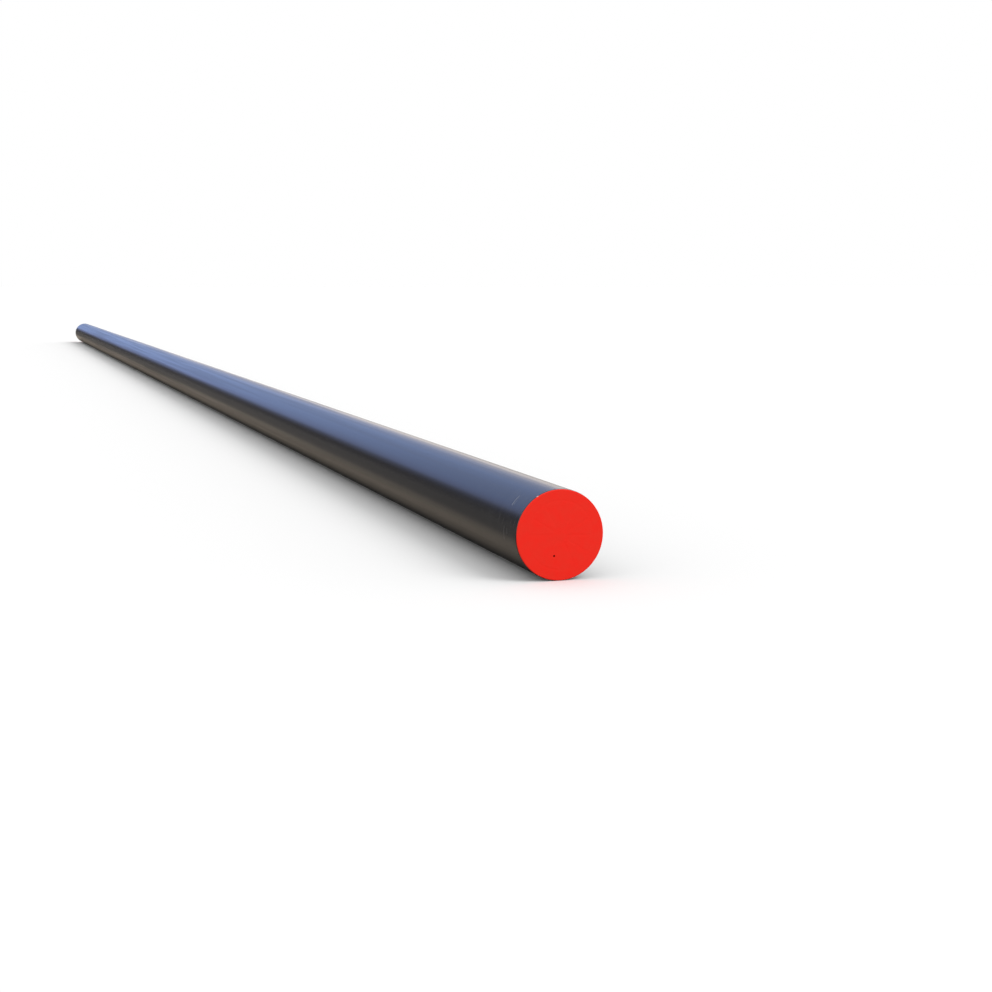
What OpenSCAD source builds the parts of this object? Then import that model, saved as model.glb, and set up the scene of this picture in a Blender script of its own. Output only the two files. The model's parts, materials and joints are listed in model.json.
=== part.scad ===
// Polyethylene pressure pipe, closed at both ends by moulded push-in plugs. Millimetres.
// The pipe lies on the floor (z = 0) along Y, and its front end faces -Y. The origin is on the
// floor below the middle of its length.

/* [Pipe] */
// Outside diameter of the pipe
pipe_od = 160; // [130:5:250]
// Thickness of the pipe wall (outside diameter / 11 in this pressure class)
pipe_wall = 14.6; // [6:0.1:20]
// Length between the two square-cut ends
pipe_length = 12000; // [1000:100:13500]
// Width of the deburred edge on the outer and the inner rim of each cut end
rim_chamfer = 1; // [0.4:0.1:2]

/* [Plug flange] */
// Thickness of the flange that covers the cut end
flange_thickness = 2.6; // [2:0.1:5]
// How far the flange stays inside the outside of the pipe, all round
flange_inset = 0.6; // [0.2:0.1:1.5]
// Radius on the outer edge of the flange
flange_edge_radius = 1.2; // [0.4:0.1:1.8]

/* [Plug skirt and fins] */
// Length of the skirt that goes into the bore
skirt_length = 46; // [30:1:90]
// Thickness of the skirt where it leaves the flange
skirt_root_wall = 2.6; // [1.6:0.1:4]
// Thickness of the skirt at its inner end
skirt_tip_wall = 1.8; // [1.2:0.1:2.4]
// Free space between the skirt and the bore, which the fins bridge
skirt_clearance = 3.6; // [2.5:0.1:6]
// Number of sealing fins round the skirt
fin_count = 4; // [2:1:6]
// Thickness of a fin where it leaves the skirt
fin_root_thickness = 1.8; // [1:0.1:2.5]
// Thickness of a fin at its rounded lip
fin_lip_thickness = 1; // [0.6:0.1:1.4]
// How far the lip of a fin trails back towards the flange
fin_rake = 2.4; // [0:0.1:4]
// Gap left between a fin's lip and the bore
fin_bore_clearance = 0.1; // [0.05:0.05:0.4]
// Length of the plain band under the flange that centres the plug
band_length = 3; // [2:0.5:8]
// Gap left between the centring band and the bore
band_bore_clearance = 0.3; // [0.2:0.1:0.8]

/* [Plug stiffening] */
// Number of radial ribs behind the flange
rib_count = 12; // [6:1:16]
// Thickness of a rib
rib_thickness = 1.8; // [1:0.1:3]
// Depth of a rib where it meets the skirt
rib_depth_at_skirt = 26; // [12:1:28]
// Depth of a rib where it meets the hub
rib_depth_at_hub = 9; // [5:1:12]
// Diameter of the hub where the ribs meet
hub_diameter = 24; // [16:1:36]
// Wall of the hub
hub_wall = 2.2; // [1.4:0.1:4]
// How far the hub stands out past the ribs that meet it
hub_projection = 2; // [1:0.1:4]

/* [Vent hole] */
// Diameter of the vent hole through the flange
vent_diameter = 3.6; // [2:0.1:6]
// Distance from the inside of the skirt to the centre of the vent hole
vent_inset = 21.5; // [8:0.1:24]
// Direction of the front plug's vent hole from its axis, 0 to the right and -90 down, seen from the front
front_vent_angle = -107; // [-180:1:180]
// The same for the rear plug, seen from the rear
rear_vent_angle = 64; // [-180:1:180]

/* [Hidden] */
$fn = 96;
// Straight steps in each rounded edge of the plug's section
arc_steps = 6;

pipe_r = pipe_od / 2;
bore_r = pipe_r - pipe_wall;
end_y = pipe_length / 2;

flange_r = pipe_r - flange_inset;
skirt_root_r = bore_r - skirt_clearance;
// The outside of the skirt draws in by as much as its wall thins, so that the inside stays straight
skirt_inner_r = skirt_root_r - skirt_root_wall;
skirt_tip_r = skirt_inner_r + skirt_tip_wall;
hub_r = hub_diameter / 2;
hub_depth = rib_depth_at_hub + hub_projection;
vent_offset = skirt_inner_r - vent_inset;

// The centring band runs down to the skirt at 45 degrees, so that it finds its way into the bore
band_r = bore_r - band_bore_clearance;
band_foot = band_length + band_r - skirt_root_r;

// The fins share the rest of the skirt, with one pitch left plain at its inner end
fin_pitch = (skirt_length - band_foot) / (fin_count + 1);
fin_lip_r = fin_lip_thickness / 2;
fin_lip_centre_r = bore_r - fin_bore_clearance - fin_lip_r;

rib_angle = 360 / rib_count;
// The vent hole passes midway between two ribs, so the ribs are turned with it
rib_start = rib_angle / 2;
// Ribs run this far into the hub, the flange and the skirt that they join
rib_root = min(hub_wall, flange_thickness, skirt_tip_wall) / 2;

black_polyethylene = [0.07, 0.07, 0.075];
red_polyethylene = [0.93, 0.19, 0.14];

// Radius of the outside of the skirt at a depth below the flange
function skirt_r_at(depth) =
    skirt_root_r + (skirt_tip_r - skirt_root_r) * depth / skirt_length;

// Section of the pipe wall: x is the radius and y runs along the pipe from its middle
module pipe_wall_section() {
    polygon([
        [bore_r + rim_chamfer, -end_y],
        [pipe_r - rim_chamfer, -end_y],
        [pipe_r, -end_y + rim_chamfer],
        [pipe_r, end_y - rim_chamfer],
        [pipe_r - rim_chamfer, end_y],
        [bore_r + rim_chamfer, end_y],
        [bore_r, end_y - rim_chamfer],
        [bore_r, -end_y + rim_chamfer]
    ]);
}

module pipe() {
    color(black_polyethylene)
        translate([0, 0, pipe_r])
            rotate([90, 0, 0])
                rotate_extrude()
                    pipe_wall_section();
}

// The section of the plug is one outline. In it x is the radius, and y is 0 at the face that seats on
// the pipe's cut end, positive towards the outside and negative into the bore

// Points on an arc round a centre, from one angle to another
function arc_points(centre, r, from, to) = [
    for (i = [0 : arc_steps])
        let (a = from + (to - from) * i / arc_steps)
            centre + r * [cos(a), sin(a)]
];

// The flange's outside face and rounded edge, down to its seat
function flange_outline() = concat(
    [[0, flange_thickness]],
    arc_points([flange_r, flange_thickness] - flange_edge_radius * [1, 1], flange_edge_radius, 90, 0),
    [[flange_r, 0]]
);

function centring_band_outline() = [
    [band_r, 0],
    [band_r, -band_length],
    [skirt_r_at(band_foot), -band_foot]
];

// One sealing fin: a blade that thins towards a rounded lip and trails back towards the flange
function fin_outline(depth) =
    let (top = depth - fin_root_thickness / 2, bottom = depth + fin_root_thickness / 2)
        concat(
            [[skirt_r_at(top), -top]],
            arc_points([fin_lip_centre_r, fin_rake - depth], fin_lip_r, 90, -90),
            [[skirt_r_at(bottom), -bottom]]
        );

function fins_outline() = [
    for (i = [1 : fin_count])
        for (point = fin_outline(band_foot + i * fin_pitch))
            point
];

// The skirt's inner end and its straight inside, back up to the flange
function skirt_outline() = [
    [skirt_tip_r, -skirt_length],
    [skirt_inner_r, -skirt_length],
    [skirt_inner_r, 0]
];

function hub_outline() = [
    [hub_r, 0],
    [hub_r, -hub_depth],
    [hub_r - hub_wall, -hub_depth],
    [hub_r - hub_wall, 0],
    [0, 0]
];

module plug_section() {
    polygon(concat(
        flange_outline(),
        centring_band_outline(),
        fins_outline(),
        skirt_outline(),
        hub_outline()
    ));
}

// A web behind the flange from the hub to the skirt, deepest where it props the skirt
module rib() {
    rotate([90, 0, 0])
        linear_extrude(rib_thickness, center = true)
            polygon([
                [hub_r - rib_root, rib_root],
                [skirt_inner_r + rib_root, rib_root],
                [skirt_inner_r + rib_root, -rib_depth_at_skirt],
                [hub_r - rib_root, -rib_depth_at_hub]
            ]);
}

// The whole moulding, with its axis along Z and the outside of the flange upwards. The vent hole
// lies at vent_angle from X
module plug(vent_angle) {
    color(red_polyethylene)
        rotate([0, 0, vent_angle])
            difference() {
                union() {
                    rotate_extrude()
                        plug_section();
                    for (i = [0 : rib_count - 1])
                        rotate([0, 0, rib_start + i * rib_angle])
                            rib();
                }
                translate([vent_offset, 0, -flange_thickness])
                    cylinder(d = vent_diameter, h = 3 * flange_thickness);
            }
}

// Seated on the cut end that faces -Y. Seen from the front, X is to the right and Z up
module front_end_plug() {
    translate([0, -end_y, pipe_r])
        rotate([90, 0, 0])
            plug(front_vent_angle);
}

// Seated on the cut end that faces +Y
module rear_end_plug() {
    translate([0, end_y, pipe_r])
        rotate([90, 0, 180])
            plug(rear_vent_angle);
}

pipe();
front_end_plug();
rear_end_plug();
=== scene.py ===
import json
import math

import bmesh
import bpy
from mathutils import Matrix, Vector


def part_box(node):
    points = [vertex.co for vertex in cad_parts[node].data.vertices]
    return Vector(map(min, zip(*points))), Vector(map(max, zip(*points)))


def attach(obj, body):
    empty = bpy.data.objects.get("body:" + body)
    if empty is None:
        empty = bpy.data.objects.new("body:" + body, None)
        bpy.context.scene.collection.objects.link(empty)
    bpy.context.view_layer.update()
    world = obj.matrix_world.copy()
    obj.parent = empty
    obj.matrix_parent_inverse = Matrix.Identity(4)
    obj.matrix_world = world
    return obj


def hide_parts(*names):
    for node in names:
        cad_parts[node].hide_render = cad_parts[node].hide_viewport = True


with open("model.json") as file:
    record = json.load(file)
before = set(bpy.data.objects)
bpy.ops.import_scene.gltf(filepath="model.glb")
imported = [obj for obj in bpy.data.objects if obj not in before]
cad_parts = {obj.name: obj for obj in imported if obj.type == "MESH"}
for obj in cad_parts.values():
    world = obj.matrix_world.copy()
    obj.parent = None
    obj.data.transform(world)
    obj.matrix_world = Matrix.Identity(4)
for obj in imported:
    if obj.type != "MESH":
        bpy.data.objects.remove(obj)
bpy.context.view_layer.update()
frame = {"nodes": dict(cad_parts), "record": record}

# The pipe
# One tube of black polyethylene, extruded through a die and drawn through a cooling sleeve. Both ends
# are cut square and their edges are deburred. It lies on the floor along Y.

spigot = next(mount for mount in frame["record"]["mounts"] if mount["name"] == "front_spigot")
pipe_radius = spigot["dims"]["r_mm"] / 1000
axis_height = spigot["pos_m"][2]
pipe_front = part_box("pipe")[0].y
pipe_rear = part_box("pipe")[1].y
pipe_length = pipe_rear - pipe_front
pipe_wall = 0.0146
# The barrel's faces, counted round it and along it. From end to end one face would be a sliver
pipe_sides = 256
pipe_stretches = 48
# The width of the rounded edge on each rim, and its steps
rim_edge = 0.001
rim_steps = 3
# A ring of edges this far from each cut end keeps the rim's rounding out of the barrel's shading
end_ring = 0.003
# Faces that meet at less than this angle shade as one smooth surface
smooth_angle = math.radians(35)


def select(piece, kind, wanted):
    """In edit mode, select the faces or edges that wanted says yes to, and nothing else."""
    bpy.ops.mesh.select_mode(type=kind)
    bpy.ops.mesh.select_all(action="DESELECT")
    mesh = bmesh.from_edit_mesh(piece.data)
    for item in mesh.faces if kind == "FACE" else mesh.edges:
        item.select_set(wanted(item))
    bmesh.update_edit_mesh(piece.data)


def is_cut_face(face):
    """True for the flat faces of the two cut ends."""
    return abs(face.normal.y) > 0.9


def is_cut_edge(edge):
    """True for the round edges where a cut face meets the barrel or the bore."""
    return sum(is_cut_face(face) for face in edge.link_faces) == 1


def is_long_edge(edge):
    """True for the edges that run from one end of the pipe to the other."""
    return edge.calc_length() > pipe_length / 2


def make_pipe():
    """A cylinder opened into a tube, with rounded rims and a barrel divided along its length."""
    bpy.ops.object.select_all(action="DESELECT")
    bpy.ops.mesh.primitive_cylinder_add(
        vertices=pipe_sides,
        radius=pipe_radius,
        depth=pipe_length,
        end_fill_type="NGON",
        location=(0, (pipe_front + pipe_rear) / 2, axis_height),
        rotation=(math.radians(90), 0, 0),
    )
    pipe = bpy.context.object
    pipe.name = "extruded_pipe"
    bpy.ops.object.transform_apply(location=True, rotation=True, scale=True)

    bpy.ops.object.mode_set(mode="EDIT")
    # The wall is left round each end face, and the two faces inside it are joined by the bore
    select(pipe, "FACE", is_cut_face)
    bpy.ops.mesh.inset(thickness=pipe_wall, use_individual=True)
    bpy.ops.mesh.bridge_edge_loops()
    select(pipe, "EDGE", is_cut_edge)
    bpy.ops.mesh.bevel(offset=rim_edge, segments=rim_steps, affect="EDGES")
    select(pipe, "EDGE", is_long_edge)
    bpy.ops.mesh.subdivide(number_cuts=pipe_stretches - 1)
    for ring_place in (pipe_front + end_ring, pipe_rear - end_ring):
        bpy.ops.mesh.select_all(action="SELECT")
        bpy.ops.mesh.bisect(plane_co=(0, ring_place, 0), plane_no=(0, 1, 0))
    bpy.ops.mesh.select_all(action="SELECT")
    bpy.ops.mesh.normals_make_consistent(inside=False)
    bpy.ops.object.mode_set(mode="OBJECT")
    bpy.ops.object.shade_smooth_by_angle(angle=smooth_angle)
    return pipe


def add_node(tree, kind, inputs=(), settings=()):
    """Add a node. inputs gives its sockets, by name or number, a value or a socket to link."""
    made = tree.nodes.new(kind)
    for name, value in dict(settings).items():
        setattr(made, name, value)
    for name, value in dict(inputs).items():
        if isinstance(value, bpy.types.NodeSocket):
            tree.links.new(value, made.inputs[name])
        else:
            made.inputs[name].default_value = value
    return made


def maths(tree, operation, *numbers):
    """The result of a Math node on numbers or sockets."""
    return add_node(tree, "ShaderNodeMath", dict(enumerate(numbers)), {"operation": operation}).outputs[0]


def vectors(tree, operation, inputs, result="Vector"):
    """The result of a Vector Math node on places, numbers or sockets, each by its input's number."""
    return add_node(tree, "ShaderNodeVectorMath", inputs, {"operation": operation}).outputs[result]


def spread(tree, value, low, high, to_low=0.0, to_high=1.0):
    """Map value smoothly from the range low to high onto the range to_low to to_high."""
    inputs = {"Value": value, "From Min": low, "From Max": high, "To Min": to_low, "To Max": to_high}
    return add_node(tree, "ShaderNodeMapRange", inputs, {"interpolation_type": "SMOOTHSTEP"}).outputs[0]


# How strongly each finer layer of the grain shows over the one before
grain_fineness = 0.55


def grain(tree, flat, per_metre, detail, seed):
    """Noise from 0 to 1 on a flat place, with so many features a metre across and along.

    Each seed takes it from another part of the endless pattern.
    """
    moved = add_node(tree, "ShaderNodeMapping", {
        "Vector": flat,
        "Location": (seed, seed * 0.7, 0),
        "Scale": (*per_metre, 1),
    })
    inputs = {"Vector": moved.outputs[0], "Scale": 1, "Detail": detail, "Roughness": grain_fineness}
    return add_node(tree, "ShaderNodeTexNoise", inputs, {"noise_dimensions": "2D"}).outputs[0]


def tint(tree, share, first, second):
    """A colour share of the way from first to second, each a colour or a socket."""
    # Of the Mix node's many sockets, 6 and 7 take the colours and output 2 gives their mix
    inputs = {0: share}
    for number, colour in ((6, first), (7, second)):
        inputs[number] = colour if isinstance(colour, bpy.types.NodeSocket) else (*colour, 1)
    return add_node(tree, "ShaderNodeMix", inputs, {"data_type": "RGBA"}).outputs[2]


def bumped(tree, pattern, height, under=None):
    """The normal of a surface that pattern raises by up to height, over the normal under if given."""
    inputs = {"Height": pattern, "Distance": height, "Strength": 1.0}
    if under is not None:
        inputs["Normal"] = under
    return add_node(tree, "ShaderNodeBump", inputs).outputs[0]


def empty_tree(owner):
    """The node tree of a material or a world, with nothing in it."""
    owner.use_nodes = True
    owner.node_tree.nodes.clear()
    return owner.node_tree


def new_material(name):
    """A new material, its node tree and its Principled shader."""
    material = bpy.data.materials.new(name)
    tree = empty_tree(material)
    shader = add_node(tree, "ShaderNodeBsdfPrincipled")
    add_node(tree, "ShaderNodeOutputMaterial", {"Surface": shader.outputs[0]})
    return material, tree, shader


def unrolled_pipe(tree):
    """A flat place on the unrolled pipe, with its distance along the pipe and its turn from the top."""
    place = add_node(tree, "ShaderNodeTexCoord").outputs["Object"]
    parts = add_node(tree, "ShaderNodeSeparateXYZ", {"Vector": place}).outputs
    turn = maths(tree, "ARCTAN2", parts["X"], maths(tree, "SUBTRACT", parts["Z"], axis_height))
    around = maths(tree, "MULTIPLY", turn, pipe_radius)
    flat = add_node(tree, "ShaderNodeCombineXYZ", {"X": around, "Y": parts["Y"]}).outputs[0]
    return flat, parts["Y"], turn


def stroke(tree, flat, start, end, width):
    """1 along a straight mark on the unrolled pipe, falling to 0 at half its width and past its ends."""
    run = Vector((end[0] - start[0], end[1] - start[1], 0))
    from_start = vectors(tree, "SUBTRACT", {0: flat, 1: (*start, 0)})
    share = vectors(tree, "DOT_PRODUCT", {0: from_start, 1: run / run.length_squared}, "Value")
    share = maths(tree, "MINIMUM", maths(tree, "MAXIMUM", share, 0.0), 1.0)
    nearest = vectors(tree, "SCALE", {0: run, 3: share})
    distance = vectors(tree, "DISTANCE", {0: from_start, 1: nearest}, "Value")
    return spread(tree, distance, width / 2, width / 8)


def place_on_pipe(degrees, from_front):
    """A place on the unrolled pipe: degrees round it from its top, to the left seen from the front."""
    return -math.radians(degrees) * pipe_radius, pipe_front + from_front


# The scratches that the front end shows, where something hard was drawn round it, and a painted glint, a
# pale
# spot on its rim: where each starts and ends, its width and how pale it is
front_scratches_and_glint = (
    (place_on_pipe(40.0, 0.0665), place_on_pipe(54.5, 0.0655), 0.0022, 0.5),
    (place_on_pipe(46.5, 0.0585), place_on_pipe(53.0, 0.0580), 0.0016, 0.3),
    (place_on_pipe(83.0, 0.0655), place_on_pipe(100.0, 0.0675), 0.0018, 0.22),
    (place_on_pipe(84.0, 0.0500), place_on_pipe(91.0, 0.0490), 0.0016, 0.15),
    # The last is a painted glint: a pale spot on the front rim
    (place_on_pipe(30.0, 0.0000), place_on_pipe(31.5, 0.0010), 0.0030, 1.0),
)

# The polyethylene, the dust on it and the scratches in it, which add to its roughness. The scratches' pale
# grey and roughness also make the painted glint on the front rim
polyethylene_ior = 1.5
black = (0.012, 0.0125, 0.0145)
dust_grey = (0.2, 0.19, 0.18)
scratch_and_glint_grey = (0.5, 0.49, 0.48)
clean_roughness = 0.17
dusty_roughness = 0.24
mark_added_roughness = 0.5

# Most of any noise lies between these two values
noise_low = 0.3
noise_high = 0.7

# What makes the barrel uneven: how many of each a metre holds, across and along, and their height
waves_per_metre = (9, 0.9)
wave_height = 0.00025
ridges_per_metre = (42, 0.10)
ridge_height = 0.00008
rings_per_metre = (2.5, 190)
ring_height = 0.00001
die_lines_per_metre = (260, 0.35)
die_line_height = 0.00003

# The dust lies in long streaks where the barrel faces up. It begins and is full at these cosines of the
# turn from the top. A streak begins and is full at these values of its noise, and the dust covers these
# shares of the black between the streaks and in them
streaks_per_metre = (70, 0.5)
dust_begins = 0.1
dust_full = 0.9
streak_begins = 0.35
streak_full = 0.75
least_dust = 0.005
most_dust = 0.05

# Handling has rubbed fine marks round the barrel. They begin and are full at these values of their noise,
# reach so far from each end, and are so much paler there than the black
rubs_per_metre = (7, 420)
rub_begins = 0.6
rub_full = 0.72
rubbed_reach = 0.45
rubbed_paleness = 0.085


def black_polyethylene():
    """The pipe's finish: uneven from its making, dusty above, rubbed and scratched near its ends, with a
    painted glint on its front rim.
    """
    material, tree, shader = new_material("black_polyethylene")
    flat, along, turn = unrolled_pipe(tree)

    # Long flat ridges and fine lines from the die, faint rings from the cooling sleeve, a slow waviness
    waves = grain(tree, flat, waves_per_metre, detail=2, seed=7)
    ridges = grain(tree, flat, ridges_per_metre, detail=2, seed=13)
    rings = grain(tree, flat, rings_per_metre, detail=2, seed=3)
    die_lines = grain(tree, flat, die_lines_per_metre, detail=4, seed=0)
    normal = bumped(tree, waves, wave_height)
    normal = bumped(tree, ridges, ridge_height, under=normal)
    normal = bumped(tree, rings, ring_height, under=normal)
    normal = bumped(tree, die_lines, die_line_height, under=normal)

    # Dust has settled on the upper side, and handling has rubbed both ends and scratched the front one. A
    # glint is painted on the front rim
    upward = spread(tree, maths(tree, "COSINE", turn), dust_begins, dust_full)
    streaks = grain(tree, flat, streaks_per_metre, detail=4, seed=11)
    streaky = spread(tree, streaks, streak_begins, streak_full, least_dust, most_dust)
    dust = maths(tree, "MULTIPLY", upward, streaky)
    rubs = spread(tree, grain(tree, flat, rubs_per_metre, detail=3, seed=5), rub_begins, rub_full)
    from_middle = maths(tree, "ABSOLUTE", along)
    near_an_end = spread(tree, from_middle, pipe_rear - rubbed_reach, pipe_rear, 0.0, rubbed_paleness)
    scuffs_and_glint = maths(tree, "MULTIPLY", rubs, near_an_end)
    # Each of these is a scratch, apart from the last, which is the painted glint on the rim
    for start, end, width, paleness in front_scratches_and_glint:
        pale_mark = maths(tree, "MULTIPLY", stroke(tree, flat, start, end, width), paleness)
        scuffs_and_glint = maths(tree, "MAXIMUM", scuffs_and_glint, pale_mark)

    colour = tint(tree, scuffs_and_glint, tint(tree, dust, black, dust_grey), scratch_and_glint_grey)
    roughness = spread(tree, streaks, noise_low, noise_high, clean_roughness, dusty_roughness)
    added_roughness = maths(tree, "MULTIPLY", scuffs_and_glint, mark_added_roughness)
    roughness = maths(tree, "ADD", roughness, added_roughness)
    tree.links.new(colour, shader.inputs["Base Color"])
    tree.links.new(roughness, shader.inputs["Roughness"])
    tree.links.new(normal, shader.inputs["Normal"])
    shader.inputs["IOR"].default_value = polyethylene_ior
    return material


pipe = make_pipe()
pipe.data.materials.append(black_polyethylene())
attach(pipe, "root")
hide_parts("pipe")

# The end plugs
# Two equal mouldings of red polyethylene, pushed into the bore by hand until the flange meets the cut
# end. The flange has a satin face, which the cooling plastic has drawn in by a hair over the ribs, the
# hub and the skirt that stand behind it.

plug_ribs = 12
# The middles of the hub's wall and of the skirt's wall, and the reach of a mark to each side of a middle
hub_radius = 0.0109
skirt_radius = 0.0605
mark_reach = 0.0035
sink_depth = 0.0001
mould_texture_per_metre = 2200
mould_texture_height = 0.000012
# The red is a little deeper and duller in clouds
clouds_per_metre = 60
red = (0.864, 0.013, 0.003)
deeper_red = (0.836, 0.017, 0.005)
satin_roughness = 0.52
duller_roughness = 0.62
satin_gloss = 0.25
# The turn of each plug's vent hole about the pipe's axis, in degrees from the right towards the top
vent_turn = {"front_end_plug": -107, "rear_end_plug": 116}


def red_polyethylene(plug_name):
    """A plug's finish: satin red, with sink marks in its face over what stands behind it."""
    material, tree, shader = new_material("red_" + plug_name)
    place = add_node(tree, "ShaderNodeTexCoord").outputs["Object"]
    parts = add_node(tree, "ShaderNodeSeparateXYZ", {"Vector": place}).outputs
    height = maths(tree, "SUBTRACT", parts["Z"], axis_height)
    radius = maths(tree, "SQRT", maths(tree, "MULTIPLY_ADD", height, height,
                                       maths(tree, "MULTIPLY", parts["X"], parts["X"])))
    turn = maths(tree, "SUBTRACT", maths(tree, "ARCTAN2", height, parts["X"]),
                 math.radians(vent_turn[plug_name]))

    # The turn is counted from the vent hole, midway between two ribs, so this cosine is 0 on every rib.
    # Times the radius over half the number of ribs it is the distance from a rib, close to that rib
    from_rib = maths(tree, "ABSOLUTE", maths(tree, "COSINE", maths(tree, "MULTIPLY", turn, plug_ribs / 2)))
    from_rib = maths(tree, "MULTIPLY", from_rib, maths(tree, "DIVIDE", radius, plug_ribs / 2))
    between = maths(tree, "MULTIPLY", spread(tree, radius, hub_radius, hub_radius + mark_reach),
                    spread(tree, radius, skirt_radius, skirt_radius - mark_reach))
    sunk = maths(tree, "MULTIPLY", between, spread(tree, from_rib, mark_reach, 0.0))
    for wall_radius in (hub_radius, skirt_radius):
        from_wall = maths(tree, "ABSOLUTE", maths(tree, "SUBTRACT", radius, wall_radius))
        sunk = maths(tree, "MAXIMUM", sunk, spread(tree, from_wall, mark_reach, 0.0))
    normal = bumped(tree, maths(tree, "SUBTRACT", 1.0, sunk), sink_depth)

    mould_texture = add_node(tree, "ShaderNodeTexNoise", {"Vector": place, "Scale": mould_texture_per_metre})
    normal = bumped(tree, mould_texture.outputs[0], mould_texture_height, under=normal)

    clouds = add_node(tree, "ShaderNodeTexNoise", {"Vector": place, "Scale": clouds_per_metre}).outputs[0]
    colour = tint(tree, spread(tree, clouds, noise_low, noise_high), red, deeper_red)
    roughness = spread(tree, clouds, noise_low, noise_high, satin_roughness, duller_roughness)
    tree.links.new(colour, shader.inputs["Base Color"])
    tree.links.new(roughness, shader.inputs["Roughness"])
    tree.links.new(normal, shader.inputs["Normal"])
    shader.inputs["Specular IOR Level"].default_value = satin_gloss
    shader.inputs["IOR"].default_value = polyethylene_ior
    return material


for plug_name in vent_turn:
    plug = frame["nodes"][plug_name]
    plug.material_slots[0].material = red_polyethylene(plug_name)

# The studio
# A pale floor and surround, white to the camera, under one broad soft lamp that stands in front of the
# near end. A barrel seen along its length shows little but what it mirrors, so long strips for it to
# mirror lie along the pipe: pale low on the right, blue from above, dark on the left.

floor_side = 400
floor_seen = (0.79, 0.79, 0.79)
floor_beyond_view = (0.38, 0.36, 0.34)
floor_mirrored_on_the_left = (0.115, 0.108, 0.103)
floor_mirrored_beside_the_pipe = (0.42, 0.36, 0.295)
# Metres to the right of the pipe's axis: where the dark floor on the left ends, and the warm strip on
# it, from its left edge over its brightest line to its right edge
dark_floor_ends = 0.05
warm_strip_left = -0.24
warm_strip_brightest = -0.09
warm_strip_right = -0.04

white = (1.0, 1.0, 1.0)
# The colours mirrored from above, by the share of the half turn from the right over to the left
sky_strips = (
    (0.00, (1.05, 0.98, 0.92)),
    (0.09, (1.36, 1.25, 1.18)),
    (0.17, (0.86, 0.85, 0.98)),
    (0.23, (0.50, 0.60, 0.92)),
    (0.36, (0.42, 0.57, 1.00)),
    (0.70, (0.40, 0.54, 0.98)),
    (0.78, (0.36, 0.45, 0.82)),
    (0.84, (0.17, 0.19, 0.29)),
    (0.91, (0.075, 0.07, 0.075)),
    (1.00, (0.10, 0.095, 0.095)),
)
# How nearly along the pipe a mirrored direction runs where the strips begin, and where they are full
strips_begin = 0.72
strips_full = 0.88

# From the pipe towards the lamp
lamp_direction = Vector((0.45, -0.60, 0.66))
lamp_strength = 1.35
lamp_width = math.radians(35)


def floor_paint():
    """White to the camera, and the dark ground with its warm strip to what mirrors it."""
    material = bpy.data.materials.new("floor_paint")
    tree = empty_tree(material)
    path = add_node(tree, "ShaderNodeLightPath").outputs
    place = add_node(tree, "ShaderNodeTexCoord").outputs["Object"]
    to_the_right = add_node(tree, "ShaderNodeSeparateXYZ", {"Vector": place}).outputs["X"]

    warm = maths(tree, "MULTIPLY", spread(tree, to_the_right, warm_strip_left, warm_strip_brightest),
                 spread(tree, to_the_right, warm_strip_right, warm_strip_brightest))
    mirrored = tint(tree, warm, floor_mirrored_on_the_left, floor_mirrored_beside_the_pipe)
    on_the_left = spread(tree, to_the_right, dark_floor_ends, 0.0)
    mirrored_there = maths(tree, "MULTIPLY", path["Is Glossy Ray"], on_the_left)
    colour = tint(tree, mirrored_there, floor_beyond_view, mirrored)
    seen_directly = maths(tree, "MAXIMUM", path["Is Camera Ray"], path["Is Transmission Ray"])
    colour = tint(tree, seen_directly, colour, floor_seen)
    shader = add_node(tree, "ShaderNodeBsdfDiffuse", {"Color": colour})
    add_node(tree, "ShaderNodeOutputMaterial", {"Surface": shader.outputs[0]})
    return material


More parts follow.
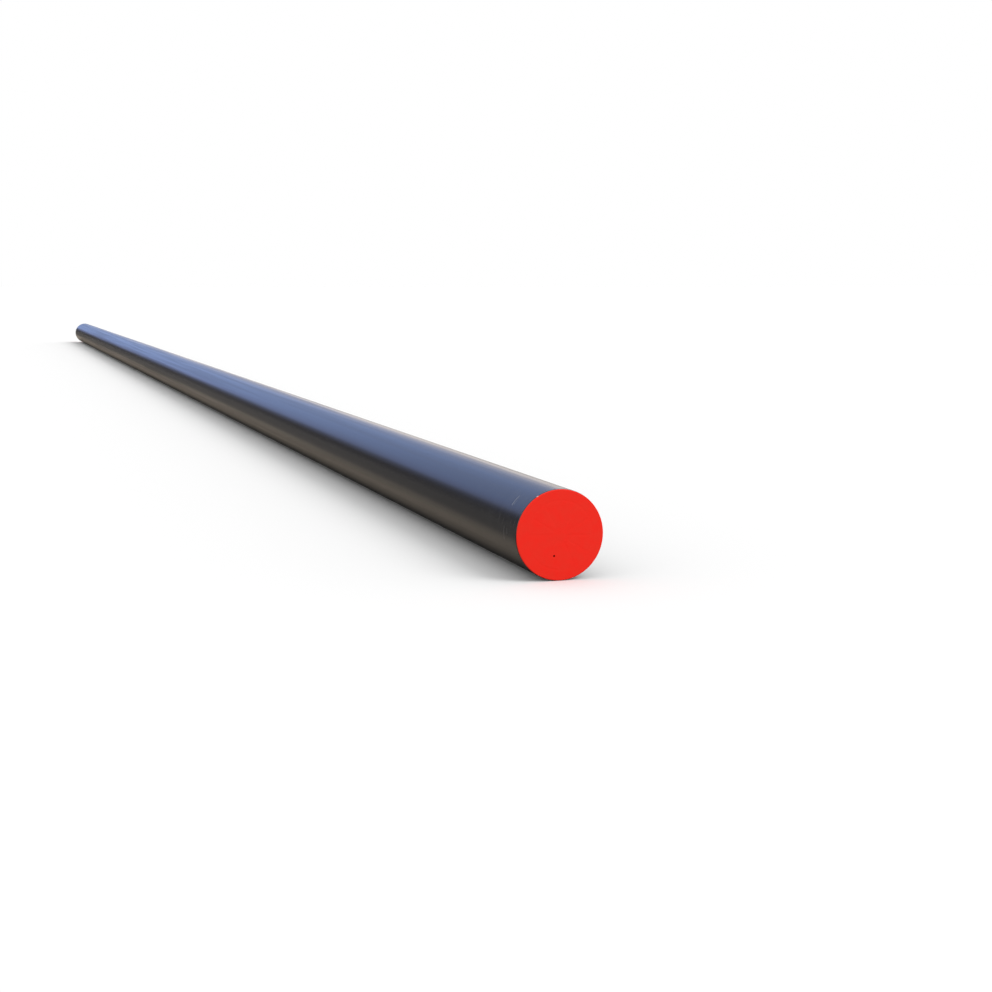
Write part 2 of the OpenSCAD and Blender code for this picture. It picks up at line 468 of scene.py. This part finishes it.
def mirrored_from_above(tree):
    """The surround's colour in a mirrored direction: the strips along the pipe, and white elsewhere."""
    direction = add_node(tree, "ShaderNodeTexCoord").outputs["Generated"]
    parts = add_node(tree, "ShaderNodeSeparateXYZ", {"Vector": direction}).outputs
    half_turn = maths(tree, "DIVIDE", maths(tree, "ARCTAN2", parts["Z"], parts["X"]), math.pi)
    strips = add_node(tree, "ShaderNodeValToRGB", {"Fac": half_turn})
    # The ramp has a stop at each end from the start, and keeps new ones in order between them
    stops = strips.color_ramp.elements
    for position, colour in sky_strips[1:-1]:
        stops.new(position)
    for stop, (position, colour) in zip(stops, sky_strips):
        stop.color = (*colour, 1)
    along_pipe = spread(tree, maths(tree, "ABSOLUTE", parts["Y"]), strips_begin, strips_full)
    return tint(tree, along_pipe, white, strips.outputs[0])


def make_surround():
    """A world that is plain white, apart from what it shows to a mirroring surface."""
    world = bpy.data.worlds.new("studio_surround")
    bpy.context.scene.world = world
    tree = empty_tree(world)
    path = add_node(tree, "ShaderNodeLightPath").outputs
    colour = tint(tree, path["Is Glossy Ray"], white, mirrored_from_above(tree))
    background = add_node(tree, "ShaderNodeBackground", {"Color": colour})
    add_node(tree, "ShaderNodeOutputWorld", {"Surface": background.outputs[0]})


bpy.ops.object.select_all(action="DESELECT")
bpy.ops.mesh.primitive_plane_add(size=floor_side)
floor = bpy.context.object
floor.name = "studio_floor"
floor.data.materials.append(floor_paint())

make_surround()

bpy.ops.object.select_all(action="DESELECT")
bpy.ops.object.light_add(type="SUN", rotation=lamp_direction.to_track_quat("Z", "Y").to_euler())
lamp = bpy.context.object
lamp.name = "soft_front_lamp"
lamp.data.energy = lamp_strength
lamp.data.angle = lamp_width

# The camera
# It stands 2.8 m from the near end, to its left and a little above it, as in the photograph.

picture_width = 992
lens_in_pixels = 1620
sensor_width = 36
camera_place = Vector((-0.9543, -8.5945, 0.5110))
# The side that the camera looks from: its turn from the front towards the right, and its height
camera_azimuth = math.radians(-17.913)
camera_elevation = math.radians(7.4935)
to_camera = Vector((
    math.sin(camera_azimuth) * math.cos(camera_elevation),
    -math.cos(camera_azimuth) * math.cos(camera_elevation),
    math.sin(camera_elevation),
))
bpy.ops.object.select_all(action="DESELECT")
bpy.ops.object.camera_add(location=camera_place, rotation=to_camera.to_track_quat("Z", "Y").to_euler())
camera = bpy.context.object
camera.data.sensor_width = sensor_width
camera.data.lens = sensor_width * lens_in_pixels / picture_width
camera.data.clip_end = floor_side * 2
bpy.context.scene.camera = camera

bpy.context.scene.view_settings.view_transform = "Standard"
